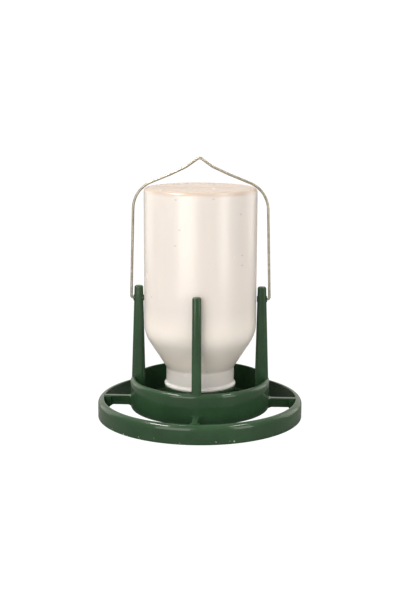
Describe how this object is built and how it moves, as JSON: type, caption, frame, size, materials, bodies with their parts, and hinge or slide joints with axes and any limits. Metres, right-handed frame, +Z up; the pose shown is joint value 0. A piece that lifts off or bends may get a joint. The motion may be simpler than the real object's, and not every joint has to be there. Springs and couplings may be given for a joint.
{
  "type": "gravity poultry feeder",
  "caption": "Gravity feeder: an inverted bottle held between upright posts over a round tray, with a low perch ring and a swinging wire bail.",
  "frame": {"origin": "on the ground, at the middle of the perch ring's underside, on the feeder's upright axis", "axes": "+Z up along the bottle's axis; the bail's pivots are on +X and -X; the front post is on -Y"},
  "size_m": [0.2, 0.2, 0.2527],
  "materials": {
    "green_plastic": "satin moulded polypropylene, dark green",
    "bottle_plastic": "translucent milky polyethylene, satin",
    "galvanised_wire": "drawn galvanised wire, dull bright"
  },
  "bodies": {
    "base": {"tray_dish": "green_plastic", "perch_ring": "green_plastic", "feed_cone": "green_plastic", "mouth_seat": "green_plastic", "arm_left": "green_plastic", "arm_right": "green_plastic", "arm_front": "green_plastic", "arm_rear": "green_plastic", "ring_socket_left": "green_plastic", "ring_socket_right": "green_plastic", "ring_socket_front": "green_plastic", "ring_socket_rear": "green_plastic", "post_left": "green_plastic", "post_right": "green_plastic", "post_front": "green_plastic", "post_rear": "green_plastic", "seat_rib_left": "green_plastic", "seat_rib_right": "green_plastic", "seat_rib_front": "green_plastic", "seat_rib_rear": "green_plastic"},
    "bottle": {"bottle": "bottle_plastic"},
    "bail": {"bail_wire": "galvanised_wire"}
  },
  "joints": [
    {"name": "bail_swing", "type": "hinge", "parent": "base", "child": "bail", "pos_m": [0, 0, 0.1163], "axis": [1, 0, 0], "range_deg": [-135, 135]},
    {"name": "bottle_turn", "type": "hinge", "parent": "base", "child": "bottle", "pos_m": [0, 0, 0.12], "axis": [0, 0, 1], "continuous": true}
  ]
}
